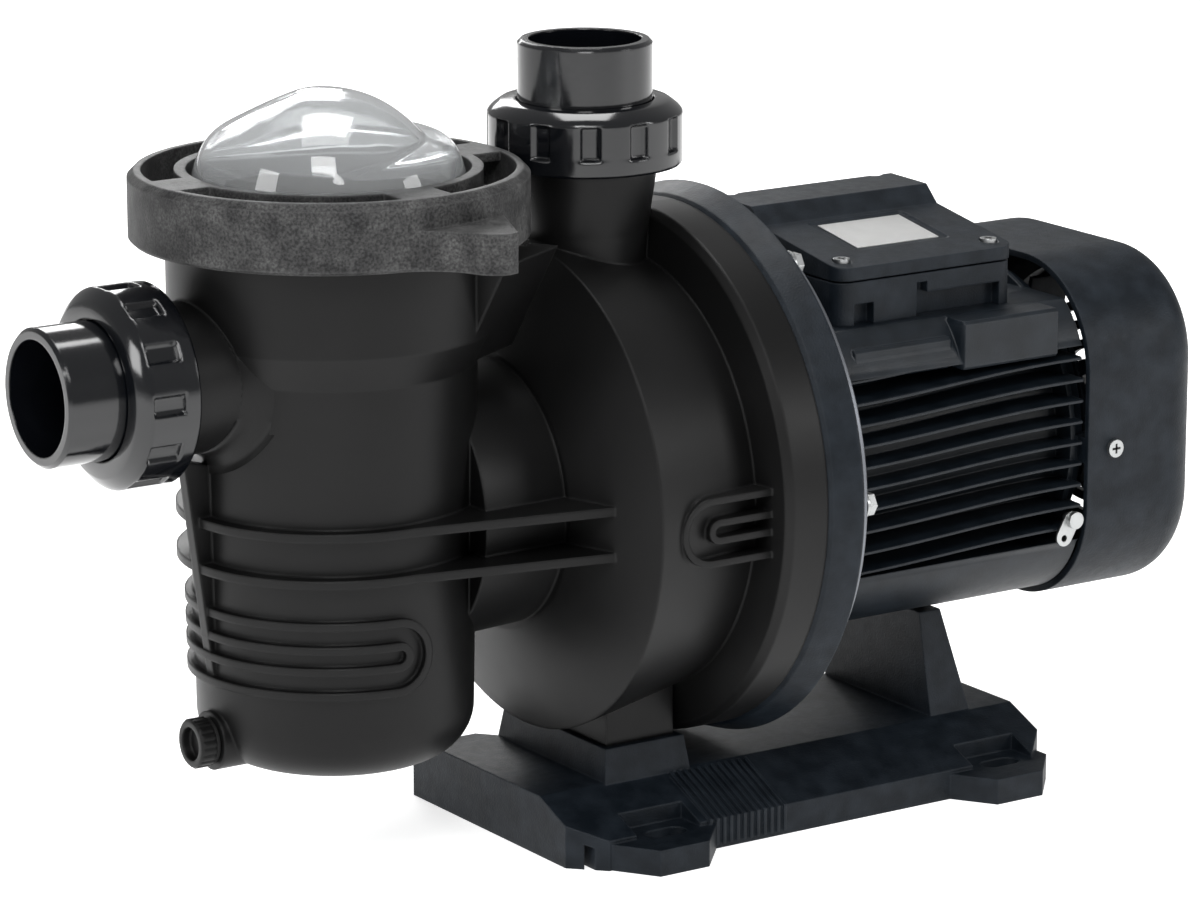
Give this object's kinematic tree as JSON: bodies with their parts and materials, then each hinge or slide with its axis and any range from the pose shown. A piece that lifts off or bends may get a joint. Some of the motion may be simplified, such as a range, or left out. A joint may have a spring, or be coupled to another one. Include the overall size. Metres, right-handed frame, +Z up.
{
  "type": "pool pump",
  "caption": "Self-priming pool pump with a clear-lidded strainer pot, screwed pipe unions on suction and discharge, and a finned fan-cooled motor on a slotted base.",
  "frame": {"origin": "centre of the four floor slots, on the underside of the base", "axes": "+X along the shaft towards the motor's fan, +Z up along the discharge, suction pipe leaves along -X"},
  "size_m": [0.5673, 0.253, 0.3573],
  "materials": {
    "housing": "satin moulded glass-filled plastic",
    "ring": "mottled glass-filled plastic",
    "union": "glossy PVC",
    "clear_lid": "clear polycarbonate",
    "dark_plastic": "fine textured",
    "wet_plastic": "moulded",
    "basket": "moulded",
    "drain": "moulded",
    "rubber": "matt",
    "motor_paint": "fine textured blue-black paint on aluminium",
    "bare_aluminium": "machined",
    "zinc_steel": "zinc plated",
    "bearing_steel": "ground",
    "seal_steel": "turned",
    "seal_ceramic": "lapped",
    "lamination": "laminated",
    "copper": "enamelled copper",
    "brass_nut": "turned",
    "label": "satin blank plate",
    "white_plastic": "moulded",
    "capacitor": "drawn can"
  },
  "bodies": {
    "pump": {"pump_housing": "housing", "seal_plate": "dark_plastic", "casing_o_ring": "rubber", "flange_bolts": "zinc_steel", "flange_washers": "zinc_steel", "diffuser": "wet_plastic", "diffuser_ring": "rubber", "seal_seat": "seal_ceramic", "front_end_shield": "bare_aluminium", "motor_frame": "motor_paint", "stator_core": "lamination", "stator_windings": "copper", "front_bearing": "bearing_steel", "rear_bearing": "bearing_steel", "wave_washer": "zinc_steel", "rear_end_shield": "motor_paint", "tie_bolts": "zinc_steel", "fan_cover": "dark_plastic", "fan_cover_screws": "zinc_steel", "terminal_box": "dark_plastic", "terminal_box_gasket": "rubber", "terminal_box_lid": "dark_plastic", "terminal_lid_screws": "zinc_steel", "rating_plate": "label", "terminal_block": "white_plastic", "capacitor": "capacitor", "cable_gland": "dark_plastic", "earth_screw": "zinc_steel", "earth_tab": "zinc_steel", "base_stand": "dark_plastic", "foot_screws": "zinc_steel", "motor_pad": "rubber", "suction_o_ring": "rubber", "discharge_o_ring": "rubber"},
    "lid": {"strainer_lid": "clear_lid", "lid_gasket": "rubber"},
    "ring": {"lid_ring": "ring"},
    "basket": {"strainer_basket": "basket"},
    "rotor": {"motor_shaft": "bearing_steel", "rotor_core": "lamination", "impeller": "wet_plastic", "impeller_nut": "brass_nut", "seal_head": "seal_steel", "shaft_slinger": "rubber", "cooling_fan": "dark_plastic", "fan_circlip": "zinc_steel"},
    "suction_tail": {"suction_union_tail": "union"},
    "suction_nut": {"suction_union_nut": "union"},
    "discharge_tail": {"discharge_union_tail": "union"},
    "discharge_nut": {"discharge_union_nut": "union"},
    "drain_seal": {"drain_o_ring": "rubber"},
    "drain_plug": {"drain_plug": "drain"}
  },
  "joints": [
    {"name": "rotor_spin", "type": "hinge", "parent": "pump", "child": "rotor", "pos_m": [-0.022, 0, 0.159], "axis": [1, 0, 0], "continuous": true},
    {"name": "lid_lift", "type": "slide", "parent": "pump", "child": "lid", "axis": [0, 0, 1], "range_m": [0, 0.36]},
    {"name": "ring_turn", "type": "hinge", "parent": "lid", "child": "ring", "pos_m": [-0.218, 0, 0.299], "axis": [0, 0, 1], "range_deg": [0, 30]},
    {"name": "basket_lift", "type": "slide", "parent": "pump", "child": "basket", "axis": [0, 0, 1], "range_m": [0, 0.2345]},
    {"name": "suction_union_slide", "type": "slide", "parent": "pump", "child": "suction_tail", "axis": [-1, 0, 0], "range_m": [0, 0.0201]},
    {"name": "suction_nut_turn", "type": "hinge", "parent": "suction_tail", "child": "suction_nut", "pos_m": [-0.306, 0, 0.23], "axis": [-1, 0, 0], "range_deg": [0, 1440]},
    {"name": "discharge_union_slide", "type": "slide", "parent": "pump", "child": "discharge_tail", "axis": [0, 0, 1], "range_m": [0, 0.0201]},
    {"name": "discharge_nut_turn", "type": "hinge", "parent": "discharge_tail", "child": "discharge_nut", "pos_m": [-0.0863, 0, 0.302], "axis": [0, 0, 1], "range_deg": [0, 1440]},
    {"name": "drain_seal_slide", "type": "slide", "parent": "pump", "child": "drain_seal", "axis": [-1, 0, 0], "range_m": [0, 0.0101]},
    {"name": "drain_plug_turn", "type": "hinge", "parent": "drain_seal", "child": "drain_plug", "pos_m": [-0.2815, 0, 0.067], "axis": [-1, 0, 0], "range_deg": [0, 1440]}
  ],
  "couplings": [
    {"joint": "basket_lift", "follows": "lid_lift", "ratio": 0.65},
    {"joint": "suction_union_slide", "follows": "suction_nut_turn", "m_per_rad": 0.00079577},
    {"joint": "discharge_union_slide", "follows": "discharge_nut_turn", "m_per_rad": 0.00079577},
    {"joint": "drain_seal_slide", "follows": "drain_plug_turn", "m_per_rad": 0.00039789}
  ]
}
